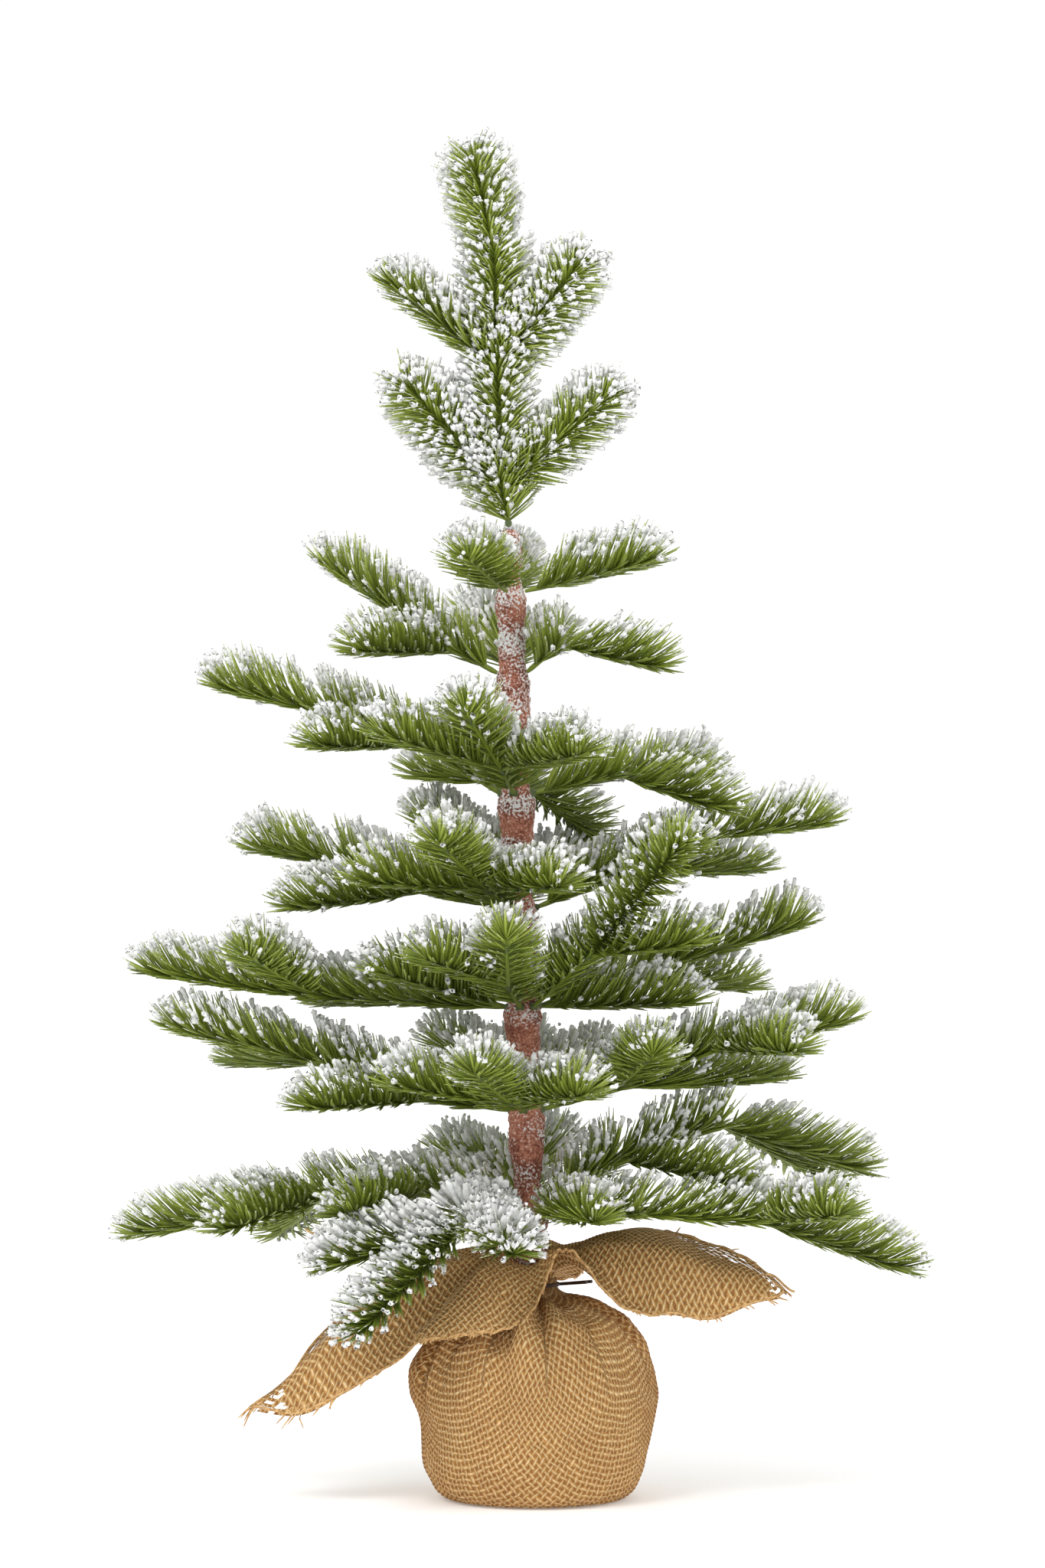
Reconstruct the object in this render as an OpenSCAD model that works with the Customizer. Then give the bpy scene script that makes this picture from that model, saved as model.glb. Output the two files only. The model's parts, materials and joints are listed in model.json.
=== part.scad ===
// Artificial tabletop tree: flocked moulded tips on bendable wire branches, a tape-wrapped
// trunk, and a cement base in a gathered burlap wrap. Millimetres, +Z up.
// The origin is the centre of the flat underside. Azimuth 0 is +X and 270 is -Y, the front.

/* [Trunk] */
// Lean of the trunk towards -X, in degrees
trunk_lean = 1.75; // [0:0.25:2.5]
// Height at which the leaning trunk crosses the upright centre line
lean_pivot_z = 45; // [40:1:50]
// Radius of the steel centre rod
rod_r = 2.5; // [2.2:0.1:2.6]
// Outer radius of the tape just below a full tier of branches
tape_top_r = 8; // [7.6:0.1:8.4]
// Outer radius of the tape just above the next tier down
tape_foot_r = 4.9; // [4.8:0.1:5.2]
// Wall of the wound tape
tape_wall = 0.7; // [0.5:0.1:0.7]

/* [Branches] */
// Radius of the bendable branch wire
wire_r = 0.9; // [0.7:0.1:0.9]
// Gap between a wire and the bore of a moulded tip
bore_gap = 0.1; // [0.05:0.01:0.15]
// Radius of the bend at the root of each branch
knuckle_r = 1.6; // [1.4:0.1:1.7]
// Length of that bend along its hinge axis
knuckle_len = 3.6; // [3:0.2:3.6]
// Distance of the bend from the trunk axis
root_r = 7; // [6.8:0.1:7.4]
// Greatest radius of the stiff ribbed core of a tip
core_r = 5.2; // [4:0.2:5.4]
// Height of the needle ribs on that core
rib_h = 1.5; // [1:0.1:1.8]
// Spacing of those ribs along the tip
rib_pitch = 8; // [7:0.5:12]

/* [Base] */
// Height of the neck where the burlap is tied
neck_z = 93; // [92:1:95]
// Outer radius of the gathered burlap at the neck
neck_r = 9.6; // [9.2:0.1:10]
// Thickness of the burlap
cloth_t = 1.2; // [1:0.1:1.4]
// Thickness of the plastic liner round the cement
liner_t = 0.8; // [0.6:0.1:1]
// Radius of the wire that ties the neck
tie_wire_r = 0.8; // [0.6:0.1:0.9]

/* [Hidden] */
// Play between parts that fit together
clear = 0.1;
// Facets in a full turn
smooth = 48;
// A clear way through past anything in the base
long_bore = 100;
// Heights of the seven tiers along the trunk, lowest first
tier_z = [125, 171, 217, 261, 312, 366, 402];
last_tier = len(tier_z) - 1;
rod_foot_z = 14;
rod_top_z = 432.4;
leader_z = 434.5;
// Each tape sleeve stops this far below its tier, and this far above the next tier down
sleeve_below = 1.5;
sleeve_above = 7;
lowest_tape_z = 99;
// The two sleeves under the upper tiers hold fewer wires and are slimmer
upper_tier = 5;
upper_tape_top_r = 7.2;
last_tape_top_r = 6.4;
upper_tape_foot_r = 5.4;
// The last turns of tape, bound straight onto the rod above the top tier
binding_foot_r = 4.6;
binding_top_r = 4.8;
binding_top_z = 431;
// Wire tails stop this far inside their sleeve
tail_below = 0.4;
tail_above = 1;
tail_trim = 0.2;
// The root of a branch stands this far above its tier
root_rise = 2;

// Bare wire at the root, after a joint and before the next joint
root_bare = 9;
joint_bare = 6;
end_bare = 4;
// A side tip's core begins where it is this far sideways of the main run, within these lengths
side_gap = 9;
least_bare = 8;
longest_bare = 24;
least_slant = 0.3;
// Share of an end tip that its wire reaches, and the end wall left beyond it
bore_share = 0.86;
bore_end = 1;
// The twist where wires meet: its radius as a multiple of the wire's, and its length
twist_share = 1.55;
twist_len = 3.2;
// Core of a moulded tip: radii at its foot and end, and the shares of its length at which it
// reaches and leaves its full radius
core_foot_r = 2.2;
core_end_r = 1.8;
core_full_from = 0.35;
core_full_to = 0.75;
core_end_power = 1.6;
core_wall_r = 2;
// Each rib leans forward, with its crest at this share of the pitch; the last rib is lower
rib_crest = 0.8;
last_rib_share = 0.5;

// Each branch: name, tier, main run as [azimuth, rise, length] from the trunk outwards, and
// side tips as [joint of the main run, azimuth, rise, length]. The wires are shaped by hand, so
// every angle is a whole number of 5 degree steps and every length of 5 mm steps.
BRANCHES = [
    // lowest tier: long and drooping, spread over the collar of the base
    ["1_left", 0, [[180, 15, 40], [180, 0, 45], [180, -10, 85]],
        [[1, 235, -5, 60], [2, 225, -10, 60], [2, 115, -20, 60]]],
    ["1_front_left", 0, [[235, 0, 40], [220, -35, 75]],
        [[1, 195, -15, 65], [1, 290, -10, 60]]],
    ["1_right_low", 0, [[335, 0, 45], [355, -5, 55], [355, -20, 65]],
        [[0, 290, 0, 65], [2, 305, 5, 55]]],
    ["1_right_high", 0, [[15, 35, 40], [5, 15, 50], [5, -20, 65]],
        [[1, 330, -10, 65], [2, 40, -25, 75]]],
    ["1_back", 0, [[100, 15, 40], [120, 10, 60]],
        [[1, 65, 15, 55], [1, 165, -5, 55]]],
    // second tier: long, rising gently
    ["2_left", 1, [[180, 10, 35], [180, 20, 50], [180, 15, 70]],
        [[1, 220, 0, 70], [2, 130, 0, 65]]],
    ["2_front", 1, [[260, 10, 30], [255, 15, 60]],
        [[1, 205, 10, 55], [1, 310, 5, 50]]],
    ["2_right", 1, [[355, 15, 35], [0, 20, 45], [0, 10, 60]],
        [[1, 285, 15, 60], [1, 30, 0, 85], [2, 305, 0, 60]]],
    ["2_back", 1, [[90, 10, 40], [90, 15, 60]],
        [[1, 135, 20, 60], [1, 50, 10, 60]]],
    // third tier: long and almost level
    ["3_left", 2, [[180, 5, 40], [180, 5, 45], [180, 10, 75]],
        [[0, 215, 15, 70], [2, 240, 20, 60], [1, 130, 0, 70]]],
    ["3_front", 2, [[260, 20, 30], [270, 20, 60]],
        [[1, 225, 15, 50]]],
    ["3_front_right", 2, [[310, 30, 45], [315, 40, 75]],
        [[1, 335, 5, 50]]],
    ["3_right", 2, [[15, 15, 40], [10, 15, 45], [5, 15, 40]],
        [[0, 340, 0, 70], [1, 40, -5, 75]]],
    ["3_back", 2, [[95, 10, 40], [100, 10, 65]],
        [[1, 145, 0, 60]]],
    // fourth tier: shorter, rising a little more
    ["4_left", 3, [[175, 15, 35], [170, 20, 40], [175, 10, 40]],
        [[1, 205, -5, 65]]],
    ["4_front", 3, [[250, 15, 35], [250, 20, 60]],
        [[1, 205, 5, 60], [1, 305, 0, 55]]],
    ["4_right", 3, [[5, 20, 40], [5, 20, 45], [0, 5, 50]],
        [[1, 35, 0, 75], [1, 300, 10, 60]]],
    ["4_back", 3, [[95, 15, 40], [95, 15, 60]],
        [[1, 135, 30, 65], [1, 50, 10, 60]]],
    // fifth tier: short, with drooping ends to the right and back
    ["5_left", 4, [[185, 35, 40], [180, 20, 45], [180, 15, 50]],
        [[1, 220, 0, 60]]],
    ["5_front", 4, [[260, 20, 30], [250, 30, 50]],
        [[1, 210, 15, 60], [1, 310, 5, 55]]],
    ["5_right", 4, [[350, 10, 40], [345, -20, 50]],
        [[1, 50, 0, 60]]],
    ["5_back", 4, [[90, 10, 35], [105, 15, 60]],
        [[1, 40, -30, 50], [1, 145, 5, 55]]],
];
// The short branches of the two upper tiers, each kept as one sub-part with its wire
SMALL_BRANCHES = [
    ["6_left", 5, [[185, 30, 20], [180, 35, 70]], [[1, 220, 0, 55]]],
    ["6_right", 5, [[335, 35, 20], [345, -15, 45]], []],
    ["6_back", 5, [[95, 25, 25], [110, 20, 50]], [[1, 60, 5, 45]]],
    ["7_front", 6, [[255, 10, 60]], []],
    ["7_right", 6, [[340, 10, 60]], []],
    ["7_back", 6, [[90, 15, 65]], []],
];
ALL_BRANCHES = concat(BRANCHES, SMALL_BRANCHES);
// The leader: its main run and side tips, written as for a branch
LEADER = ["leader", 0, [[180, 80, 15], [180, 90, 55], [180, 90, 50], [180, 80, 45]],
    [[1, 180, 50, 65], [1, 0, 40, 65], [2, 180, 40, 60], [2, 0, 50, 60]]];

// The shoulder, where the sheet lies nearly flat, begins after this ring of the pouch
pouch_shoulder = 6;
// Underside, sides and shoulder of the tied bundle, from the floor up, as [radius, height]
POUCH = [[40, 0], [44.5, 4], [49, 14], [51.5, 26], [55, 46], [53.5, 58], [48.5, 70],
    [40, 80.5], [26, 87.5], [13, 90.5]];
// Flaps of the collar: [azimuth, length beyond the plain hem, rise at the root, fall at the tip]
FLAPS = [[352, 66, 18, 30], [190, 92, 22, 82], [246, 30, 14, 48], [92, 62, 20, 44]];
// Plain hem between the flaps: its length, its rise at the root and its fall at the edge
hem_len = 46;
hem_rise = 14;
hem_fall = 22;
// How fast a flap gives way to the plain hem, in degrees
flap_spread = 30;
// Height of the band gathered under the tie, and the share of the collar that still rises
band_h = 5;
rising_share = 0.6;
fall_power = 1.8;
// Rings of the collar, as shares of its length
collar_steps = [0.12, 0.3, 0.5, 0.72, 1];
// The liner and the cement sit this far inside the sheet, and end at these heights
liner_gap = 1.8;
cement_gap = 2.2;
liner_top_z = 76;
cement_top_z = 84;
least_ring_r = 4;
floor_share = 0.4;
// Height of the tie above the neck, and its two ends
tie_rise = 2.2;
tie_end_len = 16;
tie_end_share = 0.9;
tie_end_azimuth = -30;
tie_end_spread = 9;
tie_end_slope = 6;

branch_nodes = [for (b = BRANCHES) each [str("wire_", b[0]), str("tips_", b[0])]];
small_nodes = [for (b = SMALL_BRANCHES) str("branch_", b[0])];

function heading(azimuth, rise) =
    [cos(azimuth) * cos(rise), sin(azimuth) * cos(rise), sin(rise)];
function angle_between(a, b) = acos(max(-1, min(1, (a * b) / (norm(a) * norm(b)))));
function angle_apart(a, b) = abs((a - b + 540) % 360 - 180);

// Where each joint of a main run is, counting from its root
function joint_at(run, k) =
    k == 0 ? [0, 0, 0] : joint_at(run, k - 1) + run[k - 1][2] * heading(run[k - 1][0], run[k - 1][1]);

// Root of a branch in the upright trunk's frame
function root_of(b) = let (a = b[2][0][0]) [root_r * cos(a), root_r * sin(a), tier_z[b[1]] + root_rise];

// The whole trunk and its branches lean together
module leaning() {
    translate([0, 0, lean_pivot_z]) rotate([0, -trunk_lean, 0]) translate([0, 0, -lean_pivot_z])
        children();
}

module along(azimuth, rise) {
    rotate([0, 0, azimuth]) rotate([0, 90 - rise, 0]) children();
}

// Radius of a tip's core at share t of its length
function core_at(t) =
    t < core_full_from ? core_foot_r + (core_r - core_foot_r) * sin(90 * t / core_full_from)
    : t < core_full_to ? core_r
    : core_r - (core_r - core_end_r) * pow((t - core_full_to) / (1 - core_full_to), core_end_power);

// Radius at the crest of rib k of so many: the first two and the last are lower than the rest
function crest_r(k, teeth) =
    max(core_wall_r, core_at((k + rib_crest) / teeth))
    + rib_h * min(1, (k + 1) / 2) * (k == teeth - 1 ? last_rib_share : 1);

// A moulded tip: a ribbed core turned about its wire, with the wire's bore from end to end,
// or stopping short where the tip is the last one on its wire
module moulded_tip(len, through) {
    teeth = max(2, round(len / rib_pitch));
    bore = wire_r + bore_gap;
    ribs = [for (k = [0 : teeth - 1]) each [
        [core_at(k / teeth), len * k / teeth],
        [crest_r(k, teeth), len * (k + rib_crest) / teeth]]];
    bore_top = len * bore_share + bore_end;
    tail = through ? [[core_wall_r, len], [bore, len]] : [[0, len], [0, bore_top], [bore, bore_top]];
    rotate_extrude($fn = smooth) polygon(concat([[bore, 0]], ribs, tail));
}

// Bare wire before the core of main segment k
function free_start(k) = k == 0 ? root_bare : joint_bare;

// How far from its joint a side tip may begin, so that it clears the main run beside it
function side_start(run, side) =
    let (j = side[0], d = heading(side[1], side[2]),
        beside = j < len(run) ? angle_between(d, heading(run[j][0], run[j][1])) : 90)
    min(longest_bare, max(least_bare, side_gap / max(least_slant, sin(min(90, beside)))));

module tips_of(b) {
    run = b[2];
    last = len(run) - 1;
    color("olivedrab") {
        for (k = [0 : last]) {
            seg = run[k];
            start = free_start(k);
            stop = k == last ? 0 : end_bare;
            translate(joint_at(run, k)) along(seg[0], seg[1]) translate([0, 0, start])
                moulded_tip(seg[2] - start - stop, k != last);
        }
        for (side = b[3]) {
            start = side_start(run, side);
            translate(joint_at(run, side[0])) along(side[1], side[2]) translate([0, 0, start])
                moulded_tip(side[3] - start, false);
        }
    }
}

// Wires of a branch, twisted together where they meet
module wires_of(b, thick) {
    run = b[2];
    last = len(run) - 1;
    color("darkolivegreen") union() {
        for (k = [0 : last]) {
            seg = run[k];
            start = k == last ? free_start(k) : 0;
            reach = k == last ? start + (seg[2] - start) * bore_share : seg[2];
            translate(joint_at(run, k)) along(seg[0], seg[1]) {
                cylinder(r = thick, h = reach, $fn = smooth);
                if (k > 0)
                    cylinder(r = twist_share * thick, h = twist_len, center = true, $fn = smooth);
            }
        }
        for (side = b[3]) {
            start = side_start(run, side);
            translate(joint_at(run, side[0])) along(side[1], side[2])
                cylinder(r = thick, h = start + (side[3] - start) * bore_share, $fn = smooth);
        }
    }
}

// The round bend at the root, lying along the hinge axis
module knuckle(azimuth) {
    rotate([0, 0, azimuth]) rotate([90, 0, 0])
        cylinder(r = knuckle_r, h = knuckle_len, center = true, $fn = smooth);
}

module branch_wire(b) {
    leaning() translate(root_of(b)) union() {
        wires_of(b, wire_r);
        color("darkolivegreen") knuckle(b[2][0][0]);
    }
}

module branch_tips(b) {
    leaning() translate(root_of(b)) tips_of(b);
}

module leader_wire() {
    leaning() translate([0, 0, leader_z]) union() {
        wires_of(LEADER, wire_r);
        color("darkolivegreen") rotate([90, 0, 0])
            cylinder(r = knuckle_r, h = knuckle_len, center = true, $fn = smooth);
    }
}

module leader_tips() {
    leaning() translate([0, 0, leader_z]) tips_of(LEADER);
}

// Branch wires in a tier run down the rod under the tape, so the tape is widest just below it
function sleeve_top_r(k) =
    k < upper_tier ? tape_top_r : k == upper_tier ? upper_tape_top_r : last_tape_top_r;
function sleeve_foot_r(k) = k < upper_tier ? tape_foot_r : upper_tape_foot_r;
function sleeve_top_z(k) = tier_z[k] - sleeve_below;
function sleeve_foot_z(k) = k == 0 ? lowest_tape_z : tier_z[k - 1] + sleeve_above;

module tape_sleeve(top_r, foot_r, top_z, foot_z) {
    rotate_extrude($fn = smooth) polygon([[foot_r - tape_wall, foot_z], [foot_r, foot_z],
        [top_r, top_z], [top_r - tape_wall, top_z]]);
}

module trunk_tape() {
    leaning() color("indianred") {
        for (k = [0 : last_tier])
            tape_sleeve(sleeve_top_r(k), sleeve_foot_r(k), sleeve_top_z(k), sleeve_foot_z(k));
        binding_z = tier_z[last_tier] + sleeve_above;
        rotate_extrude($fn = smooth) polygon([[rod_r + clear, binding_z], [binding_foot_r, binding_z],
            [binding_top_r, binding_top_z], [rod_r + clear, binding_top_z]]);
    }
}

// Tail of one branch wire, slanting in from the tier to the rod under its tape sleeve
module wire_tail(azimuth, k) {
    top_z = tier_z[k] - tail_below;
    foot_z = sleeve_foot_z(k) + tail_above;
    top_r = sleeve_top_r(k) - tape_wall - wire_r - clear;
    foot_r = sleeve_foot_r(k) - tape_wall - wire_r - clear / 2;
    drop = top_z - foot_z;
    rotate([0, 0, azimuth]) translate([foot_r, 0, foot_z])
        rotate([0, atan((top_r - foot_r) / drop), 0])
            cylinder(r = wire_r, h = norm([drop, top_r - foot_r]) - tail_trim, $fn = smooth);
}

module centre_rod() {
    leaning() color("dimgray") {
        translate([0, 0, rod_foot_z]) cylinder(r = rod_r, h = rod_top_z - rod_foot_z, $fn = smooth);
        for (b = ALL_BRANCHES) wire_tail(b[2][0][0], b[1]);
    }
}

// Outline of the pouch drawn in by a distance d
function drawn_in(d) = [for (p = POUCH) [max(least_ring_r, p[0] - d), max(d, p[1] - d * floor_share)]];

module cement_weight() {
    inset = cloth_t + liner_t + cement_gap;
    sides = [for (p = drawn_in(inset)) if (p[1] < cement_top_z - inset) p];
    color("lightgray") difference() {
        rotate_extrude($fn = smooth)
            polygon(concat([[0, inset]], sides, [[0, sides[len(sides) - 1][1]]]));
        leaning() translate([0, 0, rod_foot_z - 2 * clear])
            cylinder(r = rod_r + clear / 2, h = long_bore, $fn = smooth);
    }
}

module base_liner() {
    outer_d = cloth_t + liner_gap;
    outer = [for (p = drawn_in(outer_d)) if (p[1] < liner_top_z) p];
    inner = [for (p = drawn_in(outer_d + liner_t)) if (p[1] < liner_top_z) p];
    n = len(inner) - 1;
    color("gainsboro") rotate_extrude($fn = smooth)
        polygon(concat([[0, outer_d]], outer, [for (k = [0 : n]) inner[n - k]],
            [[0, outer_d + liner_t]]));
}

// The burlap is one sheet. A ring of it is [radius, height] at each of so many azimuths.
around = 40;
function flap_share(a, f) = exp(-pow(angle_apart(a, f[0]) / flap_spread, 2));
function hem_at(a) = hem_len + max([for (f = FLAPS) f[1] * flap_share(a, f)]);
function mix_of(a, i, base) = base + max([for (f = FLAPS) (f[i] - base) * flap_share(a, f)]);
function collar_point(a, s) =
    let (reach = hem_at(a), rise = mix_of(a, 2, hem_rise), fall = mix_of(a, 3, hem_fall))
    [neck_r + reach * s,
        neck_z + band_h + rise * sin(90 * min(1, s / rising_share)) - fall * pow(s, fall_power)];
function outer_ring(k, a) =
    k < len(POUCH) ? POUCH[k]
    : k == len(POUCH) ? [neck_r, neck_z]
    : k == len(POUCH) + 1 ? [neck_r, neck_z + band_h]
    : collar_point(a, collar_steps[k - len(POUCH) - 2]);
outer_count = len(POUCH) + 2 + len(collar_steps);
// The inner face follows the outer one, a cloth's thickness inside the pouch and above the collar
function inner_ring(k, a) =
    let (p = outer_ring(k, a))
    k < len(POUCH) ? [p[0] - cloth_t * (k == 0 ? floor_share : 1),
        max(cloth_t, p[1] - (k > pouch_shoulder ? 0.9 * cloth_t : 0))]
    : k < len(POUCH) + 2 ? [p[0] - cloth_t, p[1]]
    : [p[0] - cloth_t / 4, p[1] + cloth_t];

module burlap_wrap() {
    n = outer_count;
    rings = concat([for (k = [0 : n - 1]) [for (i = [0 : around - 1])
            let (a = 360 * i / around, p = outer_ring(k, a)) [p[0] * cos(a), p[0] * sin(a), p[1]]]],
        [for (k = [n - 1 : -1 : 0]) [for (i = [0 : around - 1])
            let (a = 360 * i / around, p = inner_ring(k, a)) [p[0] * cos(a), p[0] * sin(a), p[1]]]]);
    points = concat([[0, 0, 0]], [for (r = rings) each r], [[0, 0, cloth_t]]);
    last = len(points) - 1;
    sides = [for (k = [0 : 2 * n - 2]) for (i = [0 : around - 1])
        let (j = (i + 1) % around, a = 1 + k * around + i, b = 1 + k * around + j)
        each [[a, a + around, b + around], [a, b + around, b]]];
    floor_fan = [for (i = [0 : around - 1]) [0, 1 + i, 1 + (i + 1) % around]];
    top = 1 + (2 * n - 1) * around;
    inner_fan = [for (i = [0 : around - 1]) [last, top + (i + 1) % around, top + i]];
    color("burlywood") polyhedron(points, concat(floor_fan, sides, inner_fan));
}

// A turn of wire round the neck, with its two twisted ends standing out
module neck_tie() {
    tie_r = neck_r + tie_wire_r + clear;
    color("saddlebrown") union() {
        translate([0, 0, neck_z + tie_rise]) rotate_extrude($fn = smooth)
            translate([tie_r, 0]) circle(r = tie_wire_r, $fn = smooth);
        for (side = [-1, 1])
            translate([tie_r, 0, neck_z + tie_rise])
                along(tie_end_azimuth + tie_end_spread * side, tie_end_slope)
                    cylinder(r = tie_wire_r * tie_end_share, h = tie_end_len, $fn = smooth);
    }
}

cement_weight();
base_liner();
burlap_wrap();
neck_tie();
centre_rod();
trunk_tape();
leader_wire();
leader_tips();
for (b = BRANCHES) {
    branch_wire(b);
    branch_tips(b);
}
for (b = SMALL_BRANCHES) {
    union() {
        branch_wire(b);
        branch_tips(b);
    }
}
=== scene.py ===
"""Looks of the artificial tabletop tree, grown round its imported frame. Metres, Z up, -Y in front."""

import json
import math

import bpy
import numpy as np
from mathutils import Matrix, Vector


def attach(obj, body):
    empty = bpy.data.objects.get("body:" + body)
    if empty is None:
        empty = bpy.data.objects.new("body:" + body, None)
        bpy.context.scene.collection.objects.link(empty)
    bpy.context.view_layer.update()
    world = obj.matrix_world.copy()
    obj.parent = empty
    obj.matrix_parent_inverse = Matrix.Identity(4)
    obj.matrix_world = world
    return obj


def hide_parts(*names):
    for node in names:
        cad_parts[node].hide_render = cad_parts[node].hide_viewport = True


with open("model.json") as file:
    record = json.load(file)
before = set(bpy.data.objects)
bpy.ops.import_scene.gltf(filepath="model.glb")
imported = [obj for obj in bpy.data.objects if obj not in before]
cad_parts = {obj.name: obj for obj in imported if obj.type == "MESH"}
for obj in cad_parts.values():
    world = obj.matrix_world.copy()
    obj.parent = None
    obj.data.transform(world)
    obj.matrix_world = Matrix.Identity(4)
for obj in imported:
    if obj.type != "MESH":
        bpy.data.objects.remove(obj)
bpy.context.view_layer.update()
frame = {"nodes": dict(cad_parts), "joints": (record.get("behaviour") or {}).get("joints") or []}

# Driving values: sizes in metres, angles in degrees, and plain ratios
needle_len = 0.0215
needle_wide = 0.00062
needle_slant = 57
under_angle = 130
needles_per_mm = 4.6
stem_r = 0.0011
flock_r = 0.00150
thread_pitch = 0.00235
stretched_pitch = 0.0026
pleat_wide = 360 / 13
thread_lift = 0.00045
thread_rise = 0.45  # how far a thread rises over one that it crosses
sheet_ease = 0.88
neck_z = 0.093
neck_r = 0.0091
dent_room = 0.0023  # the deepest dent that keeps the cloth clear of the cement
UP = np.array([0.0, 0.0, 1.0])
golden = (math.sqrt(5) - 1) / 2  # spreads needles evenly round a stem


def unit(v):
    """v scaled to length one, for one vector or for rows of them."""
    return v / np.maximum(np.linalg.norm(v, axis=-1, keepdims=True), 1e-12)


def smoothstep(a, b, x):
    """0 below a, 1 above b and a smooth rise in between."""
    t = np.clip((x - a) / (b - a), 0, 1)
    return t * t * (3 - 2 * t)


def wave_noise(p, seed, size):
    """Smooth noise of about -1 to 1 at points p, from a few crossed waves of that size."""
    rng = np.random.default_rng(seed)
    total = np.zeros(len(p))
    for k in range(5):
        way = unit(rng.normal(size=3)) * 2 * math.pi / (size * rng.uniform(0.7, 1.4))
        total += np.sin(p @ way + rng.uniform(0, 2 * math.pi))
    return total / 2.5


# ---------------------------------------------------------------- materials
def new_material(name):
    """An empty node material with its Principled shader linked, as (material, nodes, links, shader)."""
    mat = bpy.data.materials.new(name)
    mat.use_nodes = True
    nodes, links = mat.node_tree.nodes, mat.node_tree.links
    shader = nodes["Principled BSDF"]
    return mat, nodes, links, shader


def noise(nodes, links, scale, detail, source):
    """Fac of a noise texture, read at the given coordinates."""
    tex = nodes.new("ShaderNodeTexNoise")
    tex.inputs["Scale"].default_value = scale
    tex.inputs["Detail"].default_value = detail
    links.new(source, tex.inputs["Vector"])
    return tex.outputs["Fac"]


def ramp(nodes, links, fac, stops):
    """Colour ramp of (place, (r, g, b)) stops."""
    node = nodes.new("ShaderNodeValToRGB")
    while len(node.color_ramp.elements) < len(stops):
        node.color_ramp.elements.new(0.5)
    for element, (place, colour) in zip(node.color_ramp.elements, stops):
        element.position = place
        element.color = (*colour, 1)
    links.new(fac, node.inputs["Fac"])
    return node.outputs["Color"]


def maths(nodes, links, kind, a, b=None):
    """One Math node on sockets or plain numbers."""
    node = nodes.new("ShaderNodeMath")
    node.operation = kind
    for socket, value in zip(node.inputs, (a, b)):
        if isinstance(value, (int, float)):
            socket.default_value = value
        elif value is not None:
            links.new(value, socket)
    return node.outputs[0]


def mixed(nodes, links, fac, a, b, kind="MIX"):
    """Mix of two colours, each a socket or a plain (r, g, b)."""
    node = nodes.new("ShaderNodeMix")
    node.data_type = "RGBA"
    node.blend_type = kind
    for socket, value in ((node.inputs["Factor"], fac), (node.inputs[6], a), (node.inputs[7], b)):
        if isinstance(value, (int, float)):
            socket.default_value = value
        elif isinstance(value, tuple):
            socket.default_value = (*value, 1)
        else:
            links.new(value, socket)
    return node.outputs[2]


def bump(nodes, links, shader, height, distance, strength=1.0):
    """Bump from a height socket into the shader's normal."""
    node = nodes.new("ShaderNodeBump")
    node.inputs["Distance"].default_value = distance
    node.inputs["Strength"].default_value = strength
    links.new(height, node.inputs["Height"])
    links.new(node.outputs["Normal"], shader.inputs["Normal"])


def coordinates(nodes):
    """Object coordinates."""
    return nodes.new("ShaderNodeTexCoord").outputs["Object"]


def attribute(nodes, name):
    """Fac of a mesh attribute."""
    node = nodes.new("ShaderNodeAttribute")
    node.attribute_name = name
    return node.outputs["Fac"]


def plain_material(name, colour_a, colour_b, scale, roughness, metallic=0.0, depth=0.0002):
    """Two colours mottled by noise, with a fine bump of the same noise."""
    mat, nodes, links, shader = new_material(name)
    fac = noise(nodes, links, scale, 4, coordinates(nodes))
    links.new(ramp(nodes, links, fac, [(0.35, colour_a), (0.65, colour_b)]), shader.inputs["Base Color"])
    shader.inputs["Roughness"].default_value = roughness
    shader.inputs["Metallic"].default_value = metallic
    bump(nodes, links, shader, fac, depth)
    return mat


def needle_material():
    """Soft green moulding, lighter towards needle ends and, as painted highlight, on needles that face up,
    with white flock where the mesh says snow.
    """
    mat, nodes, links, shader = new_material("flocked_needles")
    where = coordinates(nodes)
    tint = attribute(nodes, "tint")
    green = ramp(nodes, links, tint, [(0.0, (0.080, 0.112, 0.008)), (0.4, (0.195, 0.262, 0.020)),
                                      (0.75, (0.37, 0.445, 0.070)), (1.0, (0.50, 0.56, 0.17))])
    grain = noise(nodes, links, 1100, 3, where)
    snow = attribute(nodes, "snow")
    edge = maths(nodes, links, "ADD", maths(nodes, links, "SUBTRACT", grain, 0.5), snow)
    cover = ramp(nodes, links, edge, [(0.42, (0, 0, 0)), (0.58, (1, 1, 1))])
    # the flock's white is mottled by noise with a grey that is painted shade of the lumps
    white = ramp(nodes, links, noise(nodes, links, 420, 3, where),
                 [(0.3, (0.64, 0.645, 0.65)), (0.55, (0.88, 0.88, 0.87))])
    links.new(mixed(nodes, links, cover, green, white), shader.inputs["Base Color"])
    rough = maths(nodes, links, "MULTIPLY_ADD", cover, 0.4)
    rough.node.inputs[2].default_value = 0.5
    links.new(rough, shader.inputs["Roughness"])
    bump(nodes, links, shader, grain, 0.0004, 0.7)
    return mat


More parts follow.
